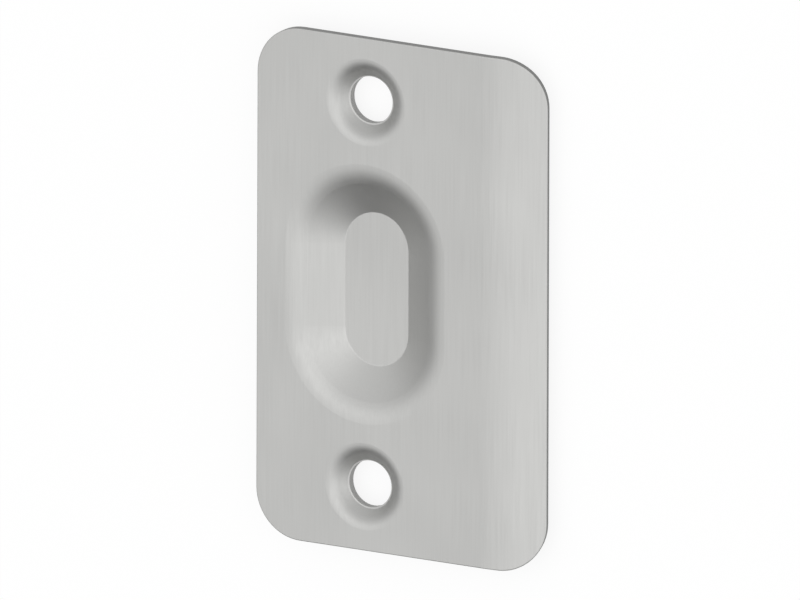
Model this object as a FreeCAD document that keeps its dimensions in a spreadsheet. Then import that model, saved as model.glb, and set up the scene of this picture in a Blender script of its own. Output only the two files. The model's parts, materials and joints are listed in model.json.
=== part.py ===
import FreeCAD, Part
import math
import os
import Sketcher

# Door strike plate for a ball catch: one piece of sheet metal, blanked, pressed and pierced.
# Millimetres. Z points out of the front face, X towards the curved lip, Y along the plate.
# The origin is on the back plane, at the middle of the recess and of the two screw holes.

doc = FreeCAD.newDocument("door_strike_plate")

# Driving dimensions, in millimetres and degrees

DIMENSIONS = (
    ("plate_length", 57.15, "length of the plate, along Y"),
    ("edge_distance", 13.4, "from the hole line to the plain long edge"),
    ("bend_distance", 14.55, "from the hole line to the start of the lip's bend"),
    ("sheet", 0.85, "thickness of the sheet, the same all over"),
    ("corner_radius", 5.4, "radius of the blank's four corners"),
    ("lip_radius", 16.6, "radius of the lip's bend, on the front face"),
    ("lip_angle", 20.0, "how far the lip turns back"),
    ("lip_run", 1.6, "straight end of the lip, past its bend"),
    ("screw_spacing", 42.85, "between the two screw holes"),
    ("screw_bore", 5.2, "diameter of each screw hole"),
    ("bore_land", 0.05, "narrow flat ring round each screw hole"),
    ("dimple_depth", 1.33, "depth of the countersunk dimples"),
    ("dimple_slope", 45.0, "slope of the dimples' cones"),
    ("dimple_rim", 1.9, "radius of the dimples' soft rims, on the front face"),
    ("recess_floor", 7.75, "width of the recess's flat floor"),
    ("recess_straight", 9.25, "length of the recess's straight middle"),
    ("recess_depth", 2.6, "depth of the recess"),
    ("recess_slope", 29.0, "slope of the recess's walls"),
    ("recess_rim", 4.75, "radius of the recess's soft rim, on the front face"),
    ("press_foot", 0.2, "inner radius at the foot of the pressed walls"),
    ("edge_break", 0.12, "softened outer edge of the front face"),
)
sizes = doc.addObject("Spreadsheet::Sheet", "Sizes")
for row, (alias, size, meaning) in enumerate(DIMENSIONS, start=1):
    sizes.set("A%d" % row, alias)
    sizes.set("B%d" % row, str(size))
    sizes.set("C%d" % row, meaning)
    sizes.setAlias("B%d" % row, alias)
doc.recompute()


# Helpers that draw and drive the sketches

def value(expression):
    """Present value of an expression in the sheet's sizes."""
    result = sizes.evalExpression(expression)
    return getattr(result, "Value", result)


def vector(x, y, z=0.0):
    return FreeCAD.Vector(x, y, z)


def origin_feature(body, role):
    """One of the body's own origin planes."""
    for feature in body.Origin.OriginFeatures:
        if feature.Role == role:
            return feature
    raise ValueError(role)


def section_sketch(body, name, along=None):
    """Empty sketch across the plate, on XZ, moved along Y by an expression."""
    sketch = body.newObject("Sketcher::SketchObject", name)
    sketch.AttachmentSupport = (origin_feature(body, "XZ_Plane"), "")
    sketch.MapMode = "FlatFace"
    if along:
        sketch.setExpression(".AttachmentOffset.Base.z", "-(%s)" % along)
    return sketch


def join(sketch, kind, *places):
    """Adds a constraint that has no size."""
    sketch.addConstraint(Sketcher.Constraint(kind, *places))


def drive(sketch, name, kind, places, expression):
    """Adds a named dimension and ties it to the sheet."""
    size = value(expression)
    if kind == "Angle":
        size = math.radians(size)
    index = sketch.addConstraint(Sketcher.Constraint(kind, *places, size))
    sketch.renameConstraint(index, name)
    sketch.setExpression("Constraints." + name, expression)


def line(x0, z0, x1, z1):
    return Part.LineSegment(vector(x0, z0), vector(x1, z1))


def arc(x, z, radius, start, end):
    """Arc about (x, z), from start to end in degrees, anticlockwise."""
    circle = Part.Circle(vector(x, z), vector(0, 0, 1), radius)
    return Part.ArcOfCircle(circle, math.radians(start), math.radians(end))


# Sections

def plate_section(sketch):
    """Closed section of the sheet: flat plate, bend and lip, all of one thickness."""
    sheet = value("Sizes.sheet")
    edge = -value("Sizes.edge_distance")
    bend = value("Sizes.bend_distance")
    radius = value("Sizes.lip_radius")
    angle = value("Sizes.lip_angle")
    run = value("Sizes.lip_run")
    across, down = math.sin(math.radians(angle)), math.cos(math.radians(angle))
    centre = sheet - radius
    front_x, front_z = bend + radius * across, centre + radius * down
    back_x, back_z = bend + (radius - sheet) * across, centre + (radius - sheet) * down
    run_x, run_z = run * down, -run * across

    flat, front_bend, front_lip, tip, back_lip, back_bend, back, plain_edge = range(8)
    sketch.addGeometry(line(edge, sheet, bend, sheet))
    sketch.addGeometry(arc(bend, centre, radius, 90 - angle, 90))
    sketch.addGeometry(line(front_x, front_z, front_x + run_x, front_z + run_z))
    sketch.addGeometry(line(front_x + run_x, front_z + run_z, back_x + run_x, back_z + run_z))
    sketch.addGeometry(line(back_x + run_x, back_z + run_z, back_x, back_z))
    sketch.addGeometry(arc(bend, centre, radius - sheet, 90 - angle, 90))
    sketch.addGeometry(line(bend, 0, edge, 0))
    sketch.addGeometry(line(edge, 0, edge, sheet))

    join(sketch, "Coincident", front_lip, 2, tip, 1)
    join(sketch, "Coincident", tip, 2, back_lip, 1)
    join(sketch, "Coincident", back, 2, plain_edge, 1)
    join(sketch, "Coincident", plain_edge, 2, flat, 1)
    join(sketch, "Coincident", front_bend, 3, back_bend, 3)
    join(sketch, "Tangent", flat, 2, front_bend, 2)
    join(sketch, "Tangent", front_bend, 1, front_lip, 1)
    join(sketch, "Tangent", back_lip, 2, back_bend, 1)
    join(sketch, "Tangent", back_bend, 2, back, 1)
    join(sketch, "Horizontal", flat)
    join(sketch, "Horizontal", back)
    join(sketch, "Vertical", plain_edge)
    join(sketch, "Perpendicular", front_lip, tip)
    join(sketch, "Perpendicular", tip, back_lip)
    join(sketch, "PointOnObject", back, 1, -1)
    drive(sketch, "thickness", "DistanceY", (plain_edge, 1, plain_edge, 2), "Sizes.sheet")
    drive(sketch, "edge", "DistanceX", (back, 2, -1, 1), "Sizes.edge_distance")
    drive(sketch, "bend", "DistanceX", (-1, 1, back, 1), "Sizes.bend_distance")
    drive(sketch, "bend_radius", "Radius", (front_bend,), "Sizes.lip_radius")
    drive(sketch, "turn", "Angle", (front_lip,), "-Sizes.lip_angle")
    drive(sketch, "run", "Distance", (front_lip,), "Sizes.lip_run")


def press_section(sketch, form, side):
    """Closed half section of a pressed form, from its centre line out to its soft rim.

    The hollow is cut from the front face and the bulge stands on the back face. Each bend
    of the bulge shares its centre with the hollow's, so the sheet keeps its thickness.
    """
    depth = "Sizes.%s_depth" % form
    slope = "Sizes.%s_slope" % form
    if form == "recess":
        floor_half = "Sizes.recess_floor / 2"
    else:
        floor_half = "Sizes.screw_bore / 2 + Sizes.bore_land"
    if side == "hollow":
        top, foot, rim = "Sizes.sheet", "Sizes.press_foot", "Sizes.%s_rim" % form
    else:
        top, foot, rim = "0", "Sizes.press_foot + Sizes.sheet", "Sizes.%s_rim - Sizes.sheet" % form

    top_z, half = value(top), value(floor_half)
    foot_radius, rim_radius = value(foot), value(rim)
    bottom_z = top_z - value(depth)
    tilt = value(slope)
    across, down = math.sin(math.radians(tilt)), math.cos(math.radians(tilt))
    wall = (value(depth) - (foot_radius + rim_radius) * (1 - down)) / across
    foot_x, foot_z = half + foot_radius * across, bottom_z + foot_radius * (1 - down)
    wall_x, wall_z = foot_x + wall * down, foot_z + wall * across
    rim_x = wall_x + rim_radius * across

    axis, base, foot_bend, slant, rim_bend, face = range(6)
    sketch.addGeometry(line(0, top_z, 0, bottom_z))
    sketch.addGeometry(line(0, bottom_z, half, bottom_z))
    sketch.addGeometry(arc(half, bottom_z + foot_radius, foot_radius, -90, tilt - 90))
    sketch.addGeometry(line(foot_x, foot_z, wall_x, wall_z))
    sketch.addGeometry(arc(rim_x, top_z - rim_radius, rim_radius, 90, 90 + tilt))
    sketch.addGeometry(line(rim_x, top_z, 0, top_z))

    join(sketch, "Coincident", axis, 2, base, 1)
    join(sketch, "Coincident", face, 2, axis, 1)
    join(sketch, "PointOnObject", axis, 2, -2)
    join(sketch, "Horizontal", base)
    join(sketch, "Horizontal", face)
    join(sketch, "Tangent", base, 2, foot_bend, 1)
    join(sketch, "Tangent", foot_bend, 2, slant, 1)
    join(sketch, "Tangent", slant, 2, rim_bend, 2)
    join(sketch, "Tangent", rim_bend, 1, face, 1)
    if side == "hollow":
        join(sketch, "PointOnObject", axis, 1, -2)
        drive(sketch, "top", "DistanceY", (-1, 1, axis, 1), top)
    else:
        join(sketch, "Coincident", axis, 1, -1, 1)
    drive(sketch, "depth", "DistanceY", (axis, 2, axis, 1), depth)
    drive(sketch, "half", "DistanceX", (base, 1, base, 2), floor_half)
    drive(sketch, "foot", "Radius", (foot_bend,), foot)
    drive(sketch, "slope", "Angle", (slant,), slope)
    drive(sketch, "rim", "Radius", (rim_bend,), rim)


# Features

def mirrored(body, name, role, originals):
    """Repeats features on the other side of one of the body's origin planes."""
    mirror = body.newObject("PartDesign::Mirrored", name)
    mirror.Originals = originals
    mirror.MirrorPlane = (origin_feature(body, role), [""])
    body.Tip = mirror
    doc.recompute()
    return mirror


def turned(body, kind, name, sketch, angle):
    """Revolution or groove of a half section about its own upright axis."""
    feature = body.newObject("PartDesign::" + kind, name)
    feature.Profile = sketch
    feature.ReferenceAxis = (sketch, ["V_Axis"])
    feature.Angle = angle
    doc.recompute()
    return feature


def straight(body, kind, name, sketch, length):
    """Pad or pocket to both sides of a section, as long as an expression says."""
    feature = body.newObject("PartDesign::" + kind, name)
    feature.Profile = sketch
    feature.SideType = "Symmetric"
    feature.setExpression("Length", length)
    doc.recompute()
    return feature


def rounded(body, name, edges, radius):
    """Fillet of the last feature's edges that a test picks."""
    base = body.Tip
    picked = ["Edge%d" % n for n, edge in enumerate(base.Shape.Edges, start=1) if edges(edge)]
    fillet = body.newObject("PartDesign::Fillet", name)
    fillet.Base = (base, picked)
    fillet.setExpression("Radius", radius)
    doc.recompute()
    return fillet


def press_ends(body, form, angle, place):
    """Bulge on the back and hollow in the front, turned about an upright axis.

    The axis stands on the hole line, as far along Y as the expression place says.
    """
    name = form.capitalize()
    bulge_section = section_sketch(body, name + "BulgeSection", place)
    press_section(bulge_section, form, "bulge")
    bulge = turned(body, "Revolution", name + "Bulge", bulge_section, angle)
    hollow_section = section_sketch(body, name + "HollowSection", place)
    press_section(hollow_section, form, "hollow")
    hollow = turned(body, "Groove", name + "Hollow", hollow_section, angle)
    return [bulge, hollow]


def press_middle(body, form, length):
    """One half of the straight stretch between two turned ends, bulge and hollow."""
    name = form.capitalize() + "Middle"
    bulge_section = section_sketch(body, name + "BulgeSection")
    press_section(bulge_section, form, "bulge")
    bulge = straight(body, "Pad", name + "Bulge", bulge_section, length)
    hollow_section = section_sketch(body, name + "HollowSection")
    press_section(hollow_section, form, "hollow")
    hollow = straight(body, "Pocket", name + "Hollow", hollow_section, length)
    return [bulge, hollow]


def pierced(body, name, bore, place):
    """Round hole through the sheet, on the hole line."""
    sketch = body.newObject("Sketcher::SketchObject", name + "Sketch")
    sketch.AttachmentSupport = (origin_feature(body, "XY_Plane"), "")
    sketch.MapMode = "FlatFace"
    sketch.addGeometry(Part.Circle(vector(0, value(place)), vector(0, 0, 1), value(bore) / 2))
    join(sketch, "PointOnObject", 0, 3, -2)
    drive(sketch, "place", "DistanceY", (-1, 1, 0, 3), place)
    drive(sketch, "bore", "Diameter", (0,), bore)
    hole = body.newObject("PartDesign::Pocket", name)
    hole.Profile = sketch
    hole.SideType = "Two sides"
    hole.Type = "ThroughAll"
    hole.Type2 = "ThroughAll"
    doc.recompute()
    return hole


# The plate's body

plate = doc.addObject("PartDesign::Body", "strike_plate")
plate.Label = "strike_plate"

# Flat plate and curved lip from one section, with the blank's four rounded corners

plate_sketch = section_sketch(plate, "PlateSection")
plate_section(plate_sketch)
straight(plate, "Pad", "Plate", plate_sketch, "Sizes.plate_length")


def across_the_sheet(edge):
    """True for the four short edges that cross the sheet at the corners."""
    along_plate = abs(edge.tangentAt(edge.FirstParameter).y)
    return edge.Length < 1.01 * value("Sizes.sheet") and along_plate < 1e-6


rounded(plate, "Corners", across_the_sheet, "Sizes.corner_radius")

# Recess for the ball: half turns at its two ends and a straight middle, all of one section

recess_end = press_ends(plate, "recess", 180, "Sizes.recess_straight / 2")
mirrored(plate, "RecessOtherEnd", "XZ_Plane", recess_end)
recess_middle = press_middle(plate, "recess", "Sizes.recess_straight")
mirrored(plate, "RecessOtherSide", "YZ_Plane", recess_middle)

# Screw holes: a countersunk dimple, pierced through its floor, at each end of the hole line

dimple = press_ends(plate, "dimple", 360, "Sizes.screw_spacing / 2")
bore = pierced(plate, "Bore", "Sizes.screw_bore", "Sizes.screw_spacing / 2")
mirrored(plate, "OtherScrewHole", "XZ_Plane", dimple + [bore])


# Front edge, softened all round

def plain_front_edge(edge):
    """True for the front face's plain long edge. The rounding runs on round the outline."""
    middle = edge.CenterOfMass
    at_edge = abs(middle.x + value("Sizes.edge_distance")) < 1e-6
    return at_edge and abs(middle.z - value("Sizes.sheet")) < 1e-6


rounded(plate, "SoftFrontEdge", plain_front_edge, "Sizes.edge_break")

# Checks, then the part's file

for item in doc.Objects:
    if "Invalid" in item.State or "Error" in item.State:
        raise RuntimeError("%s failed: %s" % (item.Name, item.State))
shape = plate.Shape
if shape.isNull() or not shape.isValid() or len(shape.Solids) != 1:
    raise RuntimeError("the strike plate isn't one valid solid")
print("strike_plate", round(shape.Volume, 1), "mm3", shape.optimalBoundingBox(False))

os.makedirs("parts", exist_ok=True)
shape.exportStep("parts/strike_plate.step")
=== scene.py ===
import json
import math

import bpy
from mathutils import Matrix, Vector


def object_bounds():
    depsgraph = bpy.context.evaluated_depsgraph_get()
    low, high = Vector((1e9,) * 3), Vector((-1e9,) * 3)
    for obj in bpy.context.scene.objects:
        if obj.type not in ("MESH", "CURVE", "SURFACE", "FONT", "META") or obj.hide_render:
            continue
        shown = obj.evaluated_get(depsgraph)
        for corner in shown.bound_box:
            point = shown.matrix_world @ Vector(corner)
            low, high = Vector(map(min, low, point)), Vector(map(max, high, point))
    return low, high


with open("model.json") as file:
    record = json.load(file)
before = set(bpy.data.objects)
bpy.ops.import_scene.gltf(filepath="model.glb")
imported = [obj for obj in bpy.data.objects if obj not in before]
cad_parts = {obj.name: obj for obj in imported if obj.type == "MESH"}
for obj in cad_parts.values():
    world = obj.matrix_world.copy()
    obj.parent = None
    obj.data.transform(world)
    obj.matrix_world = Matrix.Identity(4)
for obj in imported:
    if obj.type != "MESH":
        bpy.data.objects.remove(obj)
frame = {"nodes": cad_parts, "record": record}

cad_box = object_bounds()

# Strike plate
# One piece of steel sheet under 1 mm thick: blanked, pressed with a recess for the ball and two
# countersunk dimples, pierced for its screws, and curved back along one edge as a lip. It is
# satin plated all over. The cut edges are rougher and a darker grey, partly as bare sheared steel
# and partly as painted shade; the punched hole walls are a lighter grey, partly as burnished metal
# and partly as painted light that lifts their shade.

MILLIMETRE = 0.001

screw_holes = next(mount for mount in frame["record"]["mounts"] if mount["name"] == "screw_holes")
HOLE_FROM_MIDDLE = screw_holes["dims"]["spacing_y_mm"] / 2 * MILLIMETRE
HOLE_RADIUS = screw_holes["dims"]["hole_r_mm"] * MILLIMETRE

SATIN_LIGHT = (0.590, 0.590, 0.578, 1)
SATIN_DARK = (0.565, 0.565, 0.554, 1)
SATIN_ROUGHNESS = (0.44, 0.54)
BRUSH_WIDTH = 0.14 * MILLIMETRE
BRUSH_LENGTH = 9 * MILLIMETRE
BRUSH_DEPTH = 0.0012 * MILLIMETRE
BRUSH_DETAIL = 3
BRUSH_NOISE = (0.3, 0.7)
CLOUD_WIDTH = 16 * MILLIMETRE
CLOUD_DETAIL = 2
CLOUD_NOISE = (0.35, 0.65)

# The cut faces' darker grey is partly bare sheared steel and partly painted shade.
SHEARED_WITH_PAINTED_SHADE = (0.450, 0.450, 0.444, 1)
# The hole walls' lighter grey is partly burnished metal and partly painted light that lifts their
# shade.
PUNCHED_WITH_PAINTED_LIGHT = (0.670, 0.670, 0.660, 1)
PUNCHED_AND_PAINTED_LIGHT_WITHIN = 1.1 * HOLE_RADIUS
SHEARED_AND_PAINTED_SHADE_BEYOND = 1.2 * HOLE_RADIUS
CUT_ADDED_ROUGHNESS = 0.35
SHEAR_LINE_WIDTH = 0.1 * MILLIMETRE
SHEAR_LINE_LENGTH = 1.5 * MILLIMETRE
SHEAR_LINE_DEPTH = 0.02 * MILLIMETRE
SHEAR_LINE_DETAIL = 2
UPRIGHT_ON_A_SLOPE = 0.62
UPRIGHT_ON_A_CUT = 0.42


def add_node(tree, kind, inputs, **properties):
    """Adds a shader node. An input is a value, or another node's output to link to it."""
    node = tree.nodes.new("ShaderNode" + kind)
    for name, value in properties.items():
        setattr(node, name, value)
    for name, value in inputs.items():
        if isinstance(value, bpy.types.NodeSocket):
            tree.links.new(value, node.inputs[name])
        else:
            node.inputs[name].default_value = value
    return node


def reckoned(tree, operation, *values):
    """What a Math node makes of the values, which are numbers or outputs."""
    return add_node(tree, "Math", dict(enumerate(values)), operation=operation).outputs[0]


def grain(tree, place, cell, detail):
    """Noise whose grains are as large as cell says, in metres along X, Y and Z."""
    scaled = add_node(tree, "Mapping", {"Vector": place, "Scale": [1 / size for size in cell]})
    noise = add_node(
        tree, "TexNoise", {"Vector": scaled.outputs["Vector"], "Scale": 1, "Detail": detail}
    )
    return noise.outputs["Fac"]


def ranged(tree, value, low, high, start=0, end=1, smooth="LINEAR"):
    """The value's range from low to high, spread over start to end."""
    spread = add_node(
        tree,
        "MapRange",
        {"Value": value, "From Min": low, "From Max": high, "To Min": start, "To Max": end},
        interpolation_type=smooth,
    )
    return spread.outputs["Result"]


def mixed(tree, share, first, second):
    """Colour that goes from the first to the second as share goes from 0 to 1."""
    mix = tree.nodes.new("ShaderNodeMix")
    mix.data_type = "RGBA"
    tree.links.new(share, mix.inputs["Factor"])
    for socket, colour in ((mix.inputs["A"], first), (mix.inputs["B"], second)):
        if isinstance(colour, bpy.types.NodeSocket):
            tree.links.new(colour, socket)
        else:
            socket.default_value = colour
    return mix.outputs["Result"]


def near_a_hole(tree, place):
    """1 in and beside the screw holes, which lie on Y at both sides of the middle, else 0."""
    spot = add_node(tree, "SeparateXYZ", {"Vector": place})
    side = reckoned(tree, "ABSOLUTE", spot.outputs["Y"])
    along = reckoned(tree, "SUBTRACT", side, HOLE_FROM_MIDDLE)
    offset = add_node(tree, "CombineXYZ", {"X": spot.outputs["X"], "Y": along}).outputs[0]
    away = add_node(tree, "VectorMath", {0: offset}, operation="LENGTH").outputs["Value"]
    return ranged(tree, away, SHEARED_AND_PAINTED_SHADE_BEYOND, PUNCHED_AND_PAINTED_LIGHT_WITHIN)


def satin_steel():
    """Plated sheet steel: fine brushing along the plate, faint clouding, rougher cut edges."""
    material = bpy.data.materials.new("satin_steel")
    material.use_nodes = True
    tree = material.node_tree
    shader = tree.nodes["Principled BSDF"]
    place = add_node(tree, "TexCoord", {}).outputs["Object"]

    normal = add_node(tree, "NewGeometry", {}).outputs["True Normal"]
    facing = add_node(tree, "SeparateXYZ", {"Vector": normal})
    upright = reckoned(tree, "ABSOLUTE", facing.outputs["Z"])
    cut = ranged(tree, upright, UPRIGHT_ON_A_SLOPE, UPRIGHT_ON_A_CUT, smooth="SMOOTHSTEP")

    brush_cell = (BRUSH_WIDTH, BRUSH_LENGTH, BRUSH_WIDTH)
    brushing = grain(tree, place, brush_cell, BRUSH_DETAIL)
    clouds = grain(tree, place, (CLOUD_WIDTH, CLOUD_WIDTH, CLOUD_WIDTH), CLOUD_DETAIL)
    shear_cell = (SHEAR_LINE_WIDTH, SHEAR_LINE_WIDTH, SHEAR_LINE_LENGTH)
    shear_lines = grain(tree, place, shear_cell, SHEAR_LINE_DETAIL)

    satin = mixed(tree, ranged(tree, clouds, *CLOUD_NOISE), SATIN_DARK, SATIN_LIGHT)
    # The cut faces take painted shade, and the hole walls painted light, from these two greys.
    edge_colour_with_painted_shade_and_light = mixed(tree, near_a_hole(tree, place), SHEARED_WITH_PAINTED_SHADE, PUNCHED_WITH_PAINTED_LIGHT)
    tree.links.new(mixed(tree, cut, satin, edge_colour_with_painted_shade_and_light), shader.inputs["Base Color"])
    shader.inputs["Metallic"].default_value = 1

    streaks = ranged(tree, brushing, *BRUSH_NOISE, *SATIN_ROUGHNESS)
    roughness = reckoned(tree, "MULTIPLY_ADD", cut, CUT_ADDED_ROUGHNESS, streaks)
    tree.links.new(roughness, shader.inputs["Roughness"])

    brushed = {"Strength": 1, "Distance": BRUSH_DEPTH, "Height": brushing}
    brushed_normal = add_node(tree, "Bump", brushed).outputs["Normal"]
    lined = {
        "Strength": 1,
        "Distance": SHEAR_LINE_DEPTH,
        "Height": reckoned(tree, "MULTIPLY", shear_lines, cut),
        "Normal": brushed_normal,
    }
    tree.links.new(add_node(tree, "Bump", lined).outputs["Normal"], shader.inputs["Normal"])
    return material


plate = frame["nodes"]["strike_plate"]
plate.data.materials.clear()
plate.data.materials.append(satin_steel())

# Floor
# A wide pale table top, level with the underside of the recess, on which the plate lies. It looks
# white, only the plate's own soft shadow darkens it, and it sends a greyer light up to the plate.

FLOOR_REACH = 2.0
FLOOR_TO_THE_EYE = {"reflects": 0.14, "glows": 0.87}
FLOOR_AS_A_LIGHT = {"reflects": 0.33, "glows": 0.06}
FLOOR_IN_THE_METAL = 0.25


def pale_floor():
    """Matt surface with a glow of its own, whiter to the eye and, in part, in the metal."""
    material = bpy.data.materials.new("pale_floor")
    material.use_nodes = True
    tree = material.node_tree
    tree.nodes.clear()
    surfaces = []
    for measure in (FLOOR_AS_A_LIGHT, FLOOR_TO_THE_EYE):
        grey = (measure["reflects"], measure["reflects"], measure["reflects"], 1)
        matt = add_node(tree, "BsdfDiffuse", {"Color": grey}).outputs[0]
        glow = add_node(tree, "Emission", {"Strength": measure["glows"]}).outputs[0]
        surfaces.append(add_node(tree, "AddShader", {0: matt, 1: glow}).outputs[0])
    rays = add_node(tree, "LightPath", {}).outputs
    in_metal, to_the_eye = rays["Is Glossy Ray"], rays["Is Camera Ray"]
    seen = reckoned(tree, "MULTIPLY_ADD", in_metal, FLOOR_IN_THE_METAL, to_the_eye)
    surface = add_node(tree, "MixShader", {0: seen, 1: surfaces[0], 2: surfaces[1]}).outputs[0]
    add_node(tree, "OutputMaterial", {"Surface": surface})
    return material


floor_height = cad_box[0][2]
floor_mesh = bpy.data.meshes.new("floor")
floor_mesh.from_pydata(
    [
        (-FLOOR_REACH, -FLOOR_REACH, floor_height),
        (FLOOR_REACH, -FLOOR_REACH, floor_height),
        (FLOOR_REACH, FLOOR_REACH, floor_height),
        (-FLOOR_REACH, FLOOR_REACH, floor_height),
    ],
    [],
    [(0, 1, 2, 3)],
)
floor_mesh.materials.append(pale_floor())
floor = bpy.data.objects.new("floor", floor_mesh)
bpy.context.scene.collection.objects.link(floor)

# Light
# A white studio tent. Its light is soft: most comes from overhead, from both sides and from low
# behind the plate's upper end and right edge, and next to none from its foot or its left horizon.

TENT_LIGHTS = (
    {"turn": 0, "rise": 90, "narrow": 3, "level": 1.26},
    {"turn": 0, "rise": 42, "narrow": 5, "level": 0.71},
    {"turn": 180, "rise": 42, "narrow": 5, "level": 0.56},
    {"turn": 0, "rise": 6, "narrow": 6, "level": 0.50},
    {"turn": 45, "rise": 6, "narrow": 6, "level": 0.59},
    {"turn": 90, "rise": 6, "narrow": 6, "level": 0.78},
    {"turn": 135, "rise": 6, "narrow": 6, "level": 0.56},
    {"turn": 315, "rise": 6, "narrow": 6, "level": 0.55},
)


def tent_light():
    """Soft round lights, with a white ground. turn is from X towards Y, and rise is upwards."""
    world = bpy.data.worlds.new("tent")
    world.use_nodes = True
    tree = world.node_tree
    direction = add_node(tree, "TexCoord", {}).outputs["Generated"]
    total = 0
    for light in TENT_LIGHTS:
        turn = math.radians(light["turn"])
        rise = math.radians(light["rise"])
        middle = (math.cos(turn) * math.cos(rise), math.sin(turn) * math.cos(rise), math.sin(rise))
        facing = add_node(tree, "VectorMath", {0: direction, 1: middle}, operation="DOT_PRODUCT")
        ahead = reckoned(tree, "MAXIMUM", facing.outputs["Value"], 0)
        spread = reckoned(tree, "POWER", ahead, light["narrow"])
        total = reckoned(tree, "MULTIPLY_ADD", spread, light["level"], total)
    seen = add_node(tree, "LightPath", {}).outputs["Is Camera Ray"]
    background = tree.nodes["Background"]
    background.inputs["Color"].default_value = (1, 1, 1, 1)
    tree.links.new(reckoned(tree, "MAXIMUM", total, seen), background.inputs["Strength"])
    return world


bpy.context.scene.world = tent_light()

# Camera
# It looks down on the plate from the right of its upper end, with no perspective. It is set by
# where the front face's lower left corner, before rounding, stands in the picture.

PICTURE_WIDTH = 800
PICTURE_HEIGHT = 600
PIXEL = 0.10763 * MILLIMETRE
TURN = math.radians(29.55)
RISE = math.radians(15.29)
ROLL = math.radians(0.175)
CORNER = Vector((cad_box[0][0], cad_box[0][1], cad_box[1][2]))
CORNER_ACROSS = 255.85
CORNER_DOWN = 534.2
CAMERA_DISTANCE = 0.5
NEAREST_SEEN = 0.01
FARTHEST_SEEN = 10

level_right = Vector((math.cos(TURN), 0, -math.sin(TURN)))
level_up = Vector(
    (-math.sin(TURN) * math.sin(RISE), math.cos(RISE), -math.cos(TURN) * math.sin(RISE))
)
picture_right = math.cos(ROLL) * level_right + math.sin(ROLL) * level_up
picture_up = math.cos(ROLL) * level_up - math.sin(ROLL) * level_right
towards_camera = picture_right.cross(picture_up)
picture_middle = CORNER + (PICTURE_WIDTH / 2 - CORNER_ACROSS) * PIXEL * picture_right
picture_middle += (CORNER_DOWN - PICTURE_HEIGHT / 2) * PIXEL * picture_up

camera = bpy.data.objects.new("camera", bpy.data.cameras.new("camera"))
camera.data.type = "ORTHO"
camera.data.ortho_scale = PICTURE_WIDTH * PIXEL
camera.data.clip_start = NEAREST_SEEN
camera.data.clip_end = FARTHEST_SEEN
camera_axes = Matrix((picture_right, picture_up, towards_camera)).transposed().to_4x4()
camera_place = picture_middle + CAMERA_DISTANCE * towards_camera
camera.matrix_world = Matrix.Translation(camera_place) @ camera_axes
bpy.context.scene.collection.objects.link(camera)
bpy.context.scene.camera = camera
bpy.context.scene.view_settings.view_transform = "Standard"
